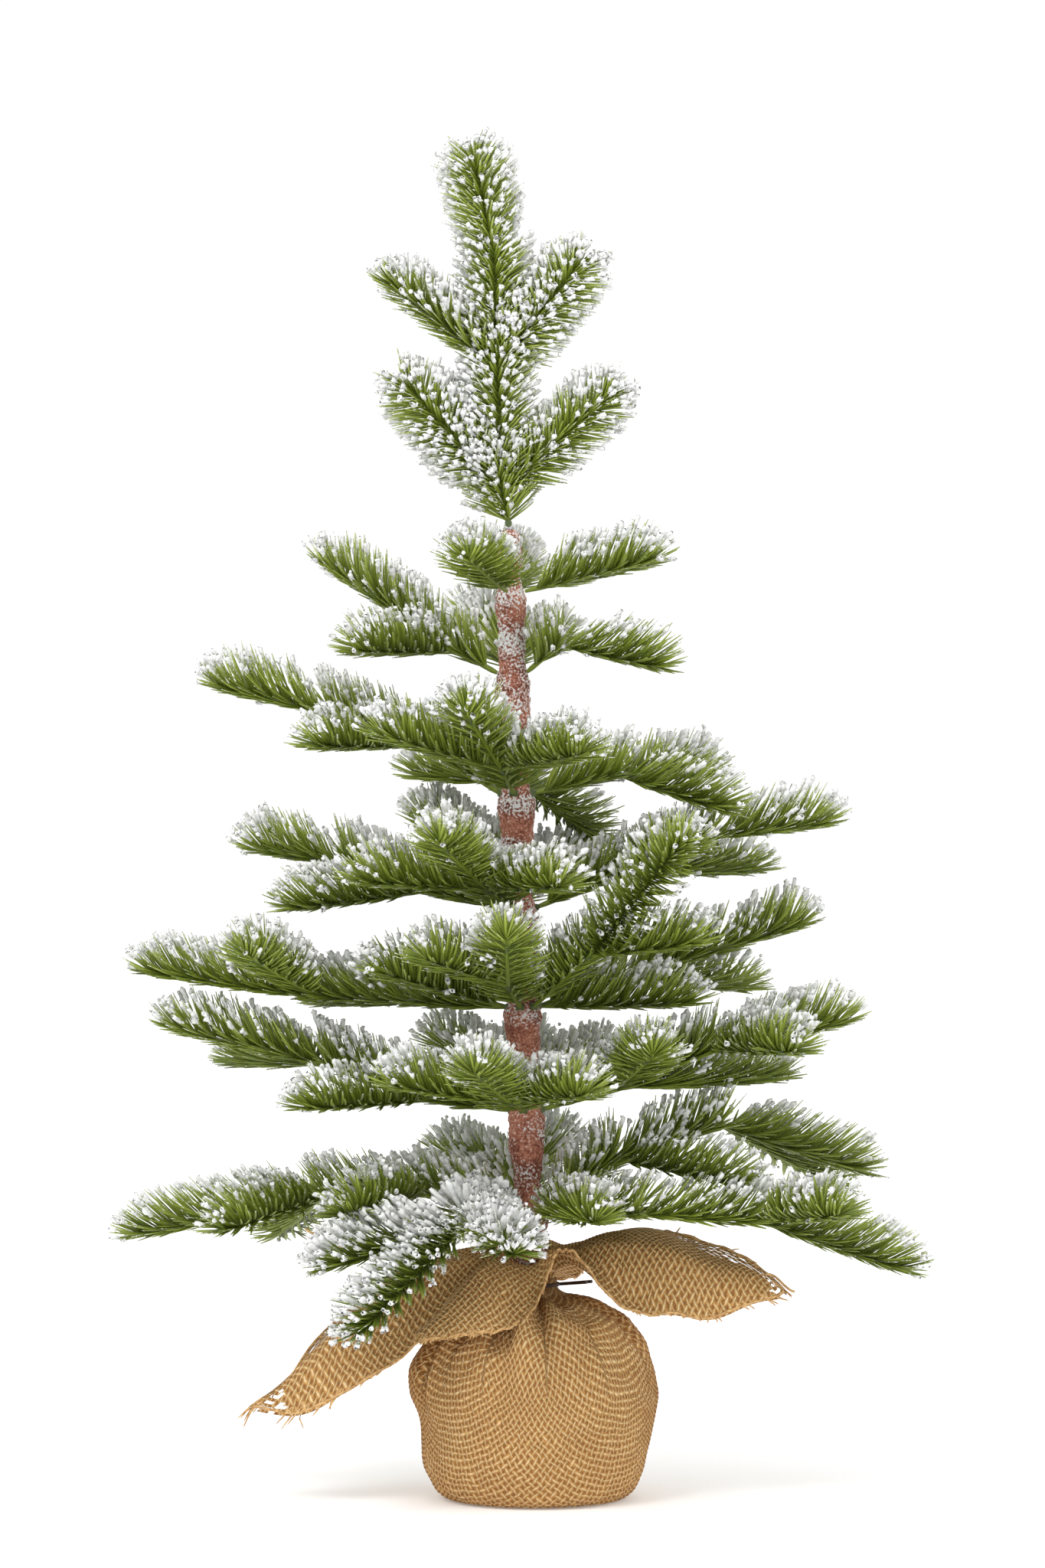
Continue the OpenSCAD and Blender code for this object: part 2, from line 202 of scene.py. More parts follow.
def tape_material():
    """Red-brown crepe tape with fine cross wrinkles and frosty white specks, its colour random in broad
    tone, with painted shade in the wrinkles' troughs and a painted orange highlight on their crests.
    """
    mat, nodes, links, shader = new_material("crepe_tape")
    where = coordinates(nodes)
    broad = noise(nodes, links, 90, 4, where)
    fine = noise(nodes, links, 900, 4, where)
    # painted shade and highlight: the colour follows the fine wrinkles of the bump, dark red-brown in their
    # troughs and orange on their crests
    wrinkle = maths(nodes, links, "MULTIPLY_ADD", fine, 0.6)
    links.new(maths(nodes, links, "MULTIPLY", broad, 0.4), wrinkle.node.inputs[2])
    body = ramp(nodes, links, wrinkle, [(0.38, (0.15, 0.045, 0.026)), (0.5, (0.40, 0.140, 0.088)),
                                        (0.62, (0.60, 0.27, 0.17))])
    frost_share = attribute(nodes, "snow")
    frost_edge = maths(nodes, links, "ADD", fine, frost_share)
    frost = ramp(nodes, links, frost_edge, [(0.72, (0, 0, 0)), (0.86, (1, 1, 1))])
    links.new(mixed(nodes, links, frost, body, (0.78, 0.78, 0.78)), shader.inputs["Base Color"])
    shader.inputs["Roughness"].default_value = 0.85
    bump(nodes, links, shader, fine, 0.0011, 1.0)
    return mat


def weave_material():
    """Open plain weave drawn from the sheet's own coordinates, kept in the UV layer 'weave' in threads; its
    colour has painted shade in the gaps between threads and painted highlight on their crests.
    """
    mat, nodes, links, shader = new_material("burlap_weave")
    uv = nodes.new("ShaderNodeUVMap")
    uv.uv_map = "weave"
    where = coordinates(nodes)
    stray = 1.1  # how far the noise moves a thread, in threads
    jitter = nodes.new("ShaderNodeTexNoise")
    jitter.inputs["Scale"].default_value = 110
    links.new(where, jitter.inputs["Vector"])
    shift = nodes.new("ShaderNodeVectorMath")
    shift.operation = "MULTIPLY_ADD"
    shift.inputs[1].default_value = (stray, stray, 0)
    links.new(jitter.outputs["Color"], shift.inputs[0])
    links.new(uv.outputs["UV"], shift.inputs[2])
    split = nodes.new("ShaderNodeSeparateXYZ")
    links.new(shift.outputs[0], split.inputs[0])
    a, b = split.outputs["X"], split.outputs["Y"]

    def cosine(x, half_turns):
        """Cosine of x, which goes through that many half turns for each thread."""
        return maths(nodes, links, "COSINE", maths(nodes, links, "MULTIPLY", x, half_turns * math.pi))

    def across(x):
        """1 on a thread's centre line and 0 in the gap beside it."""
        half = maths(nodes, links, "ADD", maths(nodes, links, "MULTIPLY", cosine(x, 2), 0.5), 0.5)
        return maths(nodes, links, "POWER", half, 2.6)

    crossing = maths(nodes, links, "MULTIPLY", cosine(a, 1), cosine(b, 1))
    rise = maths(nodes, links, "MULTIPLY", crossing, thread_rise)
    height_a = maths(nodes, links, "ADD", across(a), rise)
    height_b = maths(nodes, links, "SUBTRACT", across(b), rise)
    height = maths(nodes, links, "MAXIMUM", height_a, height_b)
    strand = noise(nodes, links, 1600, 3, where)
    shade = noise(nodes, links, 45, 3, where)
    fuzz = maths(nodes, links, "MULTIPLY", maths(nodes, links, "SUBTRACT", strand, 0.5), 0.9)
    lit = maths(nodes, links, "ADD", height, fuzz)
    # colour follows the threads' relief: the dark brown of the gaps is painted shade, the light top stop on
    # the crests painted highlight, over the jute's own brown
    colour = ramp(nodes, links, maths(nodes, links, "MULTIPLY", lit, 0.62),
                  [(0.02, (0.30, 0.125, 0.032)), (0.16, (0.59, 0.300, 0.083)), (0.42, (0.72, 0.400, 0.128)),
                   (0.80, (1.0, 0.74, 0.40))])
    # broad random patches of painted shade, multiplied into the weave's colour
    shade_patches = ramp(nodes, links, shade, [(0.3, (0.55, 0.42, 0.34)), (0.7, (1, 1, 1))])
    toned = mixed(nodes, links, 0.22, colour, shade_patches, "MULTIPLY")
    links.new(toned, shader.inputs["Base Color"])
    shader.inputs["Roughness"].default_value = 0.95
    bump(nodes, links, shader, lit, 0.0014, 0.9)
    return mat


def thread_material():
    """Golden jute thread, lighter and darker along its length."""
    return plain_material("jute_thread", (0.40, 0.21, 0.075), (0.70, 0.45, 0.20), 500, 0.95, depth=0.0004)


# ---------------------------------------------------------------- mesh building
def mesh_object(name, points, faces, material, attributes=None, uvs=None, smooth=True):
    """A mesh from arrays: faces are rows of 3 or 4 corners, attributes per point, uvs per corner."""
    mesh = bpy.data.meshes.new(name)
    faces = np.asarray(faces)
    count, size = faces.shape
    mesh.vertices.add(len(points))
    mesh.vertices.foreach_set("co", np.asarray(points, np.float32).ravel())
    mesh.loops.add(count * size)
    mesh.loops.foreach_set("vertex_index", faces.astype(np.int32).ravel())
    mesh.polygons.add(count)
    mesh.polygons.foreach_set("loop_start", np.arange(0, count * size, size, dtype=np.int32))
    mesh.polygons.foreach_set("use_smooth", np.full(count, smooth))
    for layer, values in (uvs or {}).items():
        uv = mesh.uv_layers.new(name=layer)
        uv.uv.foreach_set("vector", np.asarray(values, np.float32).ravel())
    for label, values in (attributes or {}).items():
        field = mesh.attributes.new(label, "FLOAT", "POINT")
        field.data.foreach_set("value", np.asarray(values, np.float32))
    mesh.materials.append(material)
    mesh.update()
    mesh.validate()
    obj = bpy.data.objects.new(name, mesh)
    bpy.context.scene.collection.objects.link(obj)
    return obj


def tube_faces(tubes, rings, sides):
    """Quads of many closed-round tubes whose points run tube by tube and ring by ring."""
    t, r, s = np.meshgrid(np.arange(tubes), np.arange(rings - 1), np.arange(sides), indexing="ij")
    base = (t * rings + r) * sides
    nxt = (s + 1) % sides
    return np.stack([base + s, base + nxt, base + sides + nxt, base + sides + s], -1).reshape(-1, 4)


def tube_cells(tubes, rings, sides, first_cell, columns):
    """Bake coordinates for those quads: one cell of a square grid for each tube."""
    t, r, s = np.meshgrid(np.arange(tubes), np.arange(rings - 1), np.arange(sides), indexing="ij")
    cell = t + first_cell
    u0, v0 = cell % columns, cell // columns
    margin = 0.12  # empty share of a cell at each side
    span = 1 - 2 * margin

    def corner(ring, side):
        u = u0 + margin + span * ring / (rings - 1)
        v = v0 + margin + span * side / sides
        return np.stack([u, v], -1) / columns

    corners = [corner(r, s), corner(r, s + 1), corner(r + 1, s + 1), corner(r + 1, s)]
    return np.stack(corners, -2).reshape(-1, 2)


def side_frame(way):
    """Two directions square to each row of way."""
    lean = np.where(np.abs(way[:, 2:3]) < 0.9, UP, np.array([1.0, 0, 0]))
    a = unit(np.cross(way, lean))
    return a, np.cross(way, a)


class Bundle:
    """Collects many small tubes of different ring and side counts into one mesh."""

    def __init__(self):
        self.parts = []

    def add(self, rings_points, snow, tint):
        """rings_points is (tubes, rings, sides, 3); snow and tint are (tubes, rings)."""
        self.parts.append((rings_points, snow, tint))

    def build(self, name, material):
        """One mesh of all its tubes, with snow and tint as attributes and bake coordinates."""
        cells = sum(len(p) for p, _, _ in self.parts)
        columns = math.ceil(math.sqrt(cells))
        points, faces, uvs, snows, tints = [], [], [], [], []
        start = 0
        first_cell = 0
        for rings_points, snow, tint in self.parts:
            tubes, rings, sides, _ = rings_points.shape
            points.append(rings_points.reshape(-1, 3))
            faces.append(tube_faces(tubes, rings, sides) + start)
            uvs.append(tube_cells(tubes, rings, sides, first_cell, columns))
            snows.append(np.repeat(snow.ravel(), sides))
            tints.append(np.repeat(tint.ravel(), sides))
            start += tubes * rings * sides
            first_cell += tubes
        return mesh_object(name, np.concatenate(points), np.concatenate(faces), material,
                           {"snow": np.concatenate(snows), "tint": np.concatenate(tints)},
                           {"OFBake": np.concatenate(uvs)})


def swept(paths, radii, flat, sides):
    """Tubes along paths (tubes, rings, 3), radii (tubes, rings) in half-width and flattened by flat."""
    way = unit(np.gradient(paths, axis=1))
    shape = paths.shape[:2]
    a, b = side_frame(way.reshape(-1, 3))
    a = a.reshape(*shape, 3)
    b = b.reshape(*shape, 3)
    turn = np.arange(sides) * 2 * math.pi / sides
    around = (np.cos(turn)[None, None, :, None] * a[:, :, None, :]
              + flat * np.sin(turn)[None, None, :, None] * b[:, :, None, :])
    return paths[:, :, None, :] + radii[:, :, None, None] * around


# ---------------------------------------------------------------- reading the frame
# Tolerances, in metres
at_hinge = 0.004  # a solid that comes this close to the hinge is the wire
axes_meet = 0.0012  # two axes that pass this close are taken to meet
on_hinge = 0.0015  # an axis that passes the hinge this close starts there
longest_back = 0.030  # a tip starts at most this far from its joint
usual_back = 0.006  # and this far when no joint is found
before_root = 0.012  # how far before and past the other tip its axis still counts
past_end = 0.008
next_tip = 0.0065  # a tip whose end has no other joint this close is an end tip
sleeve_end = 0.0006  # points this close to a sleeve's end give its radius there


def solids_of(node):
    """Vertices of each separate solid in a CAD node."""
    mesh = frame["nodes"][node].data
    points = np.empty(len(mesh.vertices) * 3, np.float32)
    mesh.vertices.foreach_get("co", points)
    points = points.reshape(-1, 3).astype(float)
    ends = np.empty(len(mesh.edges) * 2, np.int32)
    mesh.edges.foreach_get("vertices", ends)
    ends = ends.reshape(-1, 2)
    welds_per_m = 2e5  # points within about 5 micrometres are one
    keys = np.round(points * welds_per_m).astype(np.int64)
    same = np.unique(keys, axis=0, return_inverse=True)[1].ravel()
    label = np.arange(same.max() + 1)
    links = same[ends]
    while True:
        low = np.minimum(label[links[:, 0]], label[links[:, 1]])
        before = label.copy()
        np.minimum.at(label, links[:, 0], low)
        np.minimum.at(label, links[:, 1], low)
        label = label[label]
        if (label == before).all():
            break
    group = label[same]
    return [points[group == g] for g in np.unique(group)]


def axis_of(points):
    """Axis of a turned solid as (low end, unit direction, length): the odd one of its three spreads."""
    spread, ways = np.linalg.eigh(np.cov(np.unique(np.round(points, 6), axis=0).T))
    odd = 0 if abs(spread[1] - spread[2]) < abs(spread[1] - spread[0]) else 2
    way = ways[:, odd]
    mean = points.mean(0)
    reach = (points - mean) @ way
    return mean + way * reach.min(), way, reach.max() - reach.min()


def back_to_joint(root, way, others, hinge):
    """How far behind its root a tip's axis meets another tip's axis, or the hinge."""
    best = None
    for o_root, o_way, o_len in others:
        cross = np.cross(way, o_way)
        square = cross @ cross
        gap = o_root - root
        if square < 1e-4:
            continue
        t = np.cross(gap, o_way) @ cross / square
        s = np.cross(gap, way) @ cross / square
        apart = abs(gap @ cross) / math.sqrt(square)
        if apart < axes_meet and -longest_back < t < 0 and -before_root < s < o_len + past_end:
            best = -t if best is None else min(best, -t)
    if best is None:
        to_hinge = root - hinge
        along = to_hinge @ way
        off = np.linalg.norm(to_hinge - along * way)
        best = along if off < on_hinge and 0 < along < longest_back else usual_back
    return best


def tips_in(node, hinge):
    """Every moulded tip of a node, as a dict of its joint, direction, length and whether it ends a run."""
    raw = []
    for solid in solids_of(node):
        if np.linalg.norm(solid - hinge, axis=1).min() < at_hinge:
            continue
        end, way, length = axis_of(solid)
        other = end + way * length
        if np.linalg.norm(other - hinge) < np.linalg.norm(end - hinge):
            end, way = other, -way
        raw.append((end, way, length))
    tips = []
    for i, (root, way, length) in enumerate(raw):
        back = back_to_joint(root, way, [r for k, r in enumerate(raw) if k != i], hinge)
        tips.append({"joint": root - way * back, "way": way, "back": back, "len": length + back})
    for tip in tips:
        far = tip["joint"] + tip["way"] * tip["len"]
        near = [np.linalg.norm(t["joint"] - far) for t in tips if t is not tip]
        tip["is_end"] = min(near, default=1) > next_tip
    return tips


# ---------------------------------------------------------------- needles
bare_root = 0.006  # the longest bare start of a tip
bare_end = 0.004  # an end tip's stem stops this far short of its needles
run_on = 0.004  # a tip inside a run goes on this far into the next one
cap_from = 0.27  # flock share above which a needle can carry a cap


def add_flock(bundle, paths, wet, rng):
    """Flock: a lumpy cap on the ends of most wet needles, longer the wetter, and granules round some."""
    count, rings, _ = paths.shape
    coated = np.nonzero((wet > cap_from) & (rng.uniform(0, 1, count) < 0.55 + 0.5 * wet))[0]
    if not len(coated):
        return
    n = len(coated)
    w = wet[coated]
    first = 0.90 - 0.42 * w - 0.2 * smoothstep(0.7, 1, w) + rng.uniform(-0.06, 0.06, n)
    first = np.clip(first, 0.25, 0.92)
    rows = 6
    v = np.linspace(0, 1, rows)
    at = first[:, None] + (1.03 - first[:, None]) * v
    spots = np.clip(at * (rings - 1), 0, rings - 1.0001)
    low = spots.astype(int)
    part = (spots - low)[..., None]
    picked = np.arange(n)[:, None]
    chosen = paths[coated]
    centre = chosen[picked, low] * (1 - part) + chosen[picked, np.minimum(low + 1, rings - 1)] * part
    body = np.array([0.35, 0.6, 0.85, 1.0, 0.95, 0.55])
    radius = flock_r * (0.45 + 0.75 * w[:, None]) * body * rng.uniform(0.75, 1.25, (n, rows))
    sleeve = swept(centre, radius, 0.9, 5)
    sleeve += rng.normal(0, 0.00028, sleeve.shape)
    white = np.full((n, rows), 1.0)
    white[:, 0] = 0.5
    bundle.add(sleeve, white, np.full((n, rows), 0.9))
    pick = rng.uniform(0, 1, n) < 0.04 + 0.35 * w
    m = int(pick.sum())
    if not m:
        return
    row = rng.integers(2, rows, m)
    core = centre[pick, row] + rng.normal(0, 0.0009, (m, 3)) + UP * 0.0004
    tall = rng.uniform(0.0006, 0.0011, m)
    line = unit(rng.normal(size=(m, 3)))
    steps = np.array([-1.0, -0.45, 0.45, 1.0])
    bead = core[:, None, :] + line[:, None, :] * steps[None, :, None] * tall[:, None, None]
    bulge = np.array([0.1, 0.95, 0.95, 0.1])[None, :] * tall[:, None]
    bundle.add(swept(bead, bulge, 1.0, 5), np.full((m, 4), 1.0), np.full((m, 4), 0.9))


def grow_tip(bundle, tip, rng, frost):
    """Needles, flock and stem of one moulded tip. frost is how heavily it is flocked, 0 to 1."""
    way = tip["way"]
    # upright is 1 on a tip that points up, whose flocked side faces the front in place of the sky
    upright = float(smoothstep(0.55, 0.75, way[2]))
    up = UP - way * way[2]
    up = unit(up * (1 - upright) + upright * np.array([0.0, -1.0, 0.0]))
    up = unit(up - way * (up @ way))
    side = np.cross(way, up)
    length = tip["len"] + (0.0 if tip["is_end"] else run_on)
    start = min(bare_root, tip["back"] * 0.6) * (1 - 0.9 * upright)
    count = int((length - start) * 1000 * needles_per_mm * (1 + 0.25 * upright))
    share = (np.arange(count) + rng.uniform(0.3, 0.7, count)) / count
    place = start + (length - start) * share
    # tilt is each needle's turn round the stem from up, on one flank and the other by turns
    groove = 8 * upright
    sweep = (np.arange(count) * golden + rng.uniform(0, 0.03, count)) % 1
    flank = np.where(np.arange(count) % 2, 1, -1)
    tilt = groove + (under_angle - groove) * sweep
    turn = np.radians(tilt * flank)
    # needles close up at an end tip's end, and lie shorter and flatter below the stem
    closing = smoothstep(0.74, 1.0, share) if tip["is_end"] else np.zeros(count)
    below = smoothstep(90, under_angle, tilt) * (1 - upright)
    slant = np.radians(needle_slant + 6 * upright + rng.normal(0, 2.5, count))
    slant *= (1 - 0.46 * closing * rng.uniform(0.7, 1, count)) * (1 - 0.62 * below)
    out = np.cos(turn)[:, None] * up + np.sin(turn)[:, None] * side
    size = needle_len * rng.uniform(0.93, 1.04, count) * (1 - 0.31 * closing)
    size *= 0.66 + 0.34 * smoothstep(0.0, 0.14, share)
    size *= 1 - 0.50 * below
    size *= 1 - upright * (0.04 + 0.34 * smoothstep(60, 10, tilt))
    rings = 4
    u = np.linspace(0, 1, rings)
    heading = np.cos(slant)[:, None] * way + np.sin(slant)[:, None] * out
    root = tip["joint"] + way * place[:, None]
    bow = 0.10 * (u ** 2)[None, :, None] * size[:, None, None] * (0.5 * way + 0.9 * up * (1 - upright))
    wobble = rng.normal(0, 0.03, (count, 1, 3)) * (u ** 2)[None, :, None] * size[:, None, None]
    paths = root[:, None, :] + heading[:, None, :] * (u[None, :, None] * size[:, None, None]) + bow + wobble
    # wet is each needle's share of flock: more where it faces up, and patchy
    patch = wave_noise(root + heading * 0.012, 11, 0.03)
    facing = smoothstep(-0.25, 0.85, heading[:, 2]) * (1 - upright) + 0.85 * upright
    wet = frost * (0.10 + 1.0 * facing ** 1.3) + 0.9 * max(0.0, frost - 0.5)
    wet = wet + 0.10 * patch + rng.normal(0, 0.09, count) + 0.10 * closing
    wet = np.clip(wet, 0, 1)
    wide = needle_wide * rng.uniform(0.85, 1.15, count)
    profile = np.array([0.9, 1.05, 1.0, 0.45])
    dust = wet[:, None] * (0.25 + 0.55 * u[None, :]) + 0.36 * u[None, :] ** 3
    dust = np.clip(dust + rng.normal(0, 0.07, (count, 1)), 0, 0.56)
    # tint: lighter towards the needle ends, with random tone, and a painted highlight that makes needles
    # facing up lighter green
    tint = 0.10 + 0.46 * u[None, :] + 0.30 * (facing[:, None] - 0.3) + rng.normal(0, 0.13, (count, 1))
    bundle.add(swept(paths, wide[:, None] * profile, 0.6, 4), dust, np.clip(tint, 0, 0.95))
    add_flock(bundle, paths, wet, rng)
    # stem: a green tube over the wire, its low tint a darker green that is painted shade of the groove
    # between the needle flanks
    stem_len = length - (bare_end if tip["is_end"] else 0)
    t = np.linspace(0, 1, 9)
    line = tip["joint"] + way * (t[:, None] * stem_len)
    thick = stem_r * np.array([0.75, 1.1, 1.1, 1.05, 1.0, 0.95, 0.85, 0.7, 0.35])
    bundle.add(swept(line[None], thick[None], 1.0, 8), np.full((1, 9), 0.12), np.full((1, 9), 0.30))


# How heavily each branch is flocked, where it differs from the usual
usual_frost = 0.29
FROST = {"1_front_left": 0.66, "1_back": 0.35, "2_back": 0.35, "3_back": 0.35, "4_back": 0.35,
         "5_back": 0.35, "leader": 0.38, "3_front_right": 0.28}


def grow_branches():
    """One flocked piece for every branch and the leader, each on its own body."""
    looks = needle_material()
    for index, joint in enumerate(frame["joints"]):
        body = joint["child"]
        name = body.replace("branch_", "")
        node = body if body in frame["nodes"] else ("leader_tips" if body == "leader" else "tips_" + name)
        hinge = np.array(joint["pos_m"], float)
        rng = np.random.default_rng(100 + index)
        bundle = Bundle()
        for tip in tips_in(node, hinge):
            grow_tip(bundle, tip, rng, FROST.get(name, usual_frost))
        piece = bundle.build("needles_" + name, looks)
        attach(piece, body)
        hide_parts(node)


# ---------------------------------------------------------------- trunk tape
def trunk_profile():
    """The trunk's axis and the tape's outer radius along it, read from the CAD sleeves."""
    solids = solids_of("trunk_tape")
    middles = np.array([(s.min(0) + s.max(0)) / 2 for s in solids])
    order = np.argsort(middles[:, 2])
    foot = middles[order[0]]
    axis = unit(middles[order[-1]] - foot)
    profile = []
    for k in order:
        along = (solids[k] - foot) @ axis
        radius = np.linalg.norm(solids[k] - foot - along[:, None] * axis, axis=1)
        for level in (along.min(), along.max()):
            here = np.abs(along - level) < sleeve_end
            profile.append((level, radius[here].max()))
    return foot, axis, np.array(profile)


def wind_tape():
    """Crepe tape wound up the trunk in one continuous helix, over the CAD sleeves and the gaps between."""
    foot, axis, profile = trunk_profile()
    columns = 72
    step = 0.0008
    past_end_of_tape = 0.001
    levels = np.arange(profile[0, 0] - past_end_of_tape, profile[-1, 0] + past_end_of_tape, step)
    turn = np.arange(columns) * 2 * math.pi / columns
    h, a = np.meshgrid(levels, turn, indexing="ij")
    base = np.interp(h, profile[:, 0], profile[:, 1])
    tape_wide = 0.0075  # what one turn climbs
    lap = (h / tape_wide - a / (2 * math.pi)) % 1
    ridge = 0.0005 * lap ** 2 - 0.0002 * (lap > 0.93)
    right, front = side_frame(axis[None])
    ring = np.cos(a)[..., None] * right[0] + np.sin(a)[..., None] * front[0]
    rough = foot + h[..., None] * axis + base[..., None] * ring
    flat = rough.reshape(-1, 3)
    wrinkles = 0.00028 * wave_noise(flat * np.array([1, 1, 2.2]), 5, 0.0042)
    crepe = wrinkles + 0.00045 * wave_noise(flat, 6, 0.015)
    radius = base + 0.0001 + ridge + crepe.reshape(h.shape)
    closing = smoothstep(0, 0.003, profile[-1, 0] + past_end_of_tape - h)
    points = foot + h[..., None] * axis + (radius * (0.5 + 0.5 * closing))[..., None] * ring
    faces = tube_faces(1, len(levels), columns)
    bake = tube_cells(1, len(levels), columns, 0, 1)
    height = smoothstep(0.15, 0.42, points[..., 2].ravel())
    specks = 0.17 + 0.08 * height + 0.08 * wave_noise(flat, 8, 0.02)
    tape = mesh_object("wound_tape", points.reshape(-1, 3), faces, tape_material(),
                       {"snow": specks}, {"OFBake": bake})
    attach(tape, "stand")
    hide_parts("trunk_tape")


# ---------------------------------------------------------------- burlap
# Outline of the tied bundle from the floor's centre to the band under the tie, as (radius, height)
BUNDLE = [(0.0, 0.0006), (0.040, 0.0006), (0.0445, 0.004), (0.049, 0.014), (0.0515, 0.026), (0.055, 0.046),
          (0.0535, 0.058), (0.0485, 0.070), (0.040, 0.0805), (0.026, 0.0875), (0.013, 0.0905),
          (neck_r, neck_z), (neck_r, neck_z + 0.005)]
# Dents in the bundle: azimuth, height, half-widths in degrees and metres, and depth. Below 0 it swells
DENTS = [
    (251, 0.078, 6, 0.008, 0.0070), (241, 0.077, 6, 0.010, -0.0022), (263, 0.074, 5, 0.014, -0.0026),
    (204, 0.064, 4, 0.016, 0.0056), (211, 0.064, 4, 0.016, -0.0020), (256, 0.060, 7, 0.020, 0.0020),
    (300, 0.045, 9, 0.030, -0.0012), (307, 0.086, 22, 0.006, 0.0042), (300, 0.079, 18, 0.005, -0.0014),
    (194, 0.060, 15, 0.012, -0.0026), (198, 0.036, 20, 0.010, 0.0018), (345, 0.064, 14, 0.014, -0.0016),
    (262, 0.078, 5, 0.012, -0.0020), (285, 0.080, 8, 0.010, -0.0018), (206, 0.066, 7, 0.015, 0.0022),
    (224, 0.080, 7, 0.009, 0.0026), (15, 0.080, 8, 0.008, 0.0028), (60, 0.080, 10, 0.008, 0.0026),
    (110, 0.080, 8, 0.009, 0.0028), (150, 0.080, 10, 0.008, 0.0026), (182, 0.078, 7, 0.010, 0.0026),
    (338, 0.078, 7, 0.009, 0.0024), (272, 0.084, 5, 0.006, 0.0026)]
# Hem of the collar round the trunk: azimuth, distance from the axis and height
HEM = [
    (0, 0.090, 0.108), (12, 0.066, 0.119), (28, 0.052, 0.117), (45, 0.048, 0.108),
    (70, 0.070, 0.098), (90, 0.108, 0.082), (106, 0.078, 0.094), (128, 0.052, 0.104),
    (146, 0.058, 0.100), (160, 0.070, 0.098), (172, 0.092, 0.076), (180, 0.114, 0.050),
    (188, 0.132, 0.040), (196, 0.104, 0.041), (204, 0.080, 0.054), (211, 0.058, 0.076),
    (219, 0.064, 0.080), (228, 0.080, 0.074), (240, 0.064, 0.075), (252, 0.052, 0.078),
    (266, 0.042, 0.085), (280, 0.030, 0.102), (292, 0.026, 0.113), (308, 0.027, 0.112),
    (322, 0.040, 0.094), (334, 0.060, 0.081), (343, 0.086, 0.083), (351, 0.118, 0.093)]
grain_azimuth = 45
drape = 1.08


def apart(a, b):
    """Smallest difference of two azimuths, in degrees."""
    return np.abs((a - b + 540) % 360 - 180)


def weave_at(reach, azimuth, pitch=thread_pitch):
    """Thread coordinates in the flat sheet of a place at that distance and direction from its middle."""
    turn = np.radians(azimuth - grain_azimuth)
    return reach * np.cos(turn) / pitch, reach * np.sin(turn) / pitch


def from_crest(azimuth):
    """Degrees from the crest of the pleat that an azimuth lies on, -half to half a pleat."""
    bent = azimuth + 5 * np.sin(np.radians(3 * azimuth + 20)) + 3 * np.sin(np.radians(5 * azimuth))
    return bent % pleat_wide - pleat_wide / 2


def gathered(azimuth, height):
    """Direction in the flat sheet of a place on the bundle, whose pleats hide cloth between them."""
    hidden = 0.50 * smoothstep(0.045, 0.084, height)
    return azimuth - hidden * from_crest(azimuth)


def eased(arc):
    """Distance in the flat sheet for a distance along the bundle, which the folds near the neck shorten."""
    widest = 0.092
    return sheet_ease * np.minimum(arc, widest) + 0.74 * np.maximum(arc - widest, 0)


def weave_height(a, b):
    """Height of the cloth's face over its middle, 0 to about 1.4, for a plain weave."""
    over = np.cos(math.pi * a) * np.cos(math.pi * b)
    warp = 0.5 + 0.5 * np.cos(2 * math.pi * a) + thread_rise * over
    weft = 0.5 + 0.5 * np.cos(2 * math.pi * b) - thread_rise * over
    return np.maximum(warp, weft)


def grid_normals(points, closed):
    """Unit normals of a grid of points (rows, columns, 3)."""
    down = np.gradient(points, axis=0)
    if closed:
        across = (np.roll(points, -1, 1) - np.roll(points, 1, 1)) / 2
    else:
        across = np.gradient(points, axis=1)
    return unit(np.cross(across, down))


def bundle_outline(arc):
    """Radius and height at distance arc along the outline, with its corners rounded."""
    outline = np.array(BUNDLE)
    steps = np.r_[0, np.cumsum(np.linalg.norm(np.diff(outline, axis=0), axis=1))]
    fine = np.linspace(0, steps[-1], 800)
    kernel = np.hanning(41)
    kernel /= kernel.sum()
    sides = []
    for k in range(2):
        line = np.interp(fine, steps, outline[:, k])
        padded = np.r_[2 * line[0] - line[20:0:-1], line, 2 * line[-1] - line[-2:-22:-1]]
        sides.append(np.interp(arc, fine, np.convolve(padded, kernel, "valid")))
    return sides[0], np.maximum(sides[1], 0.0005), steps[-1]


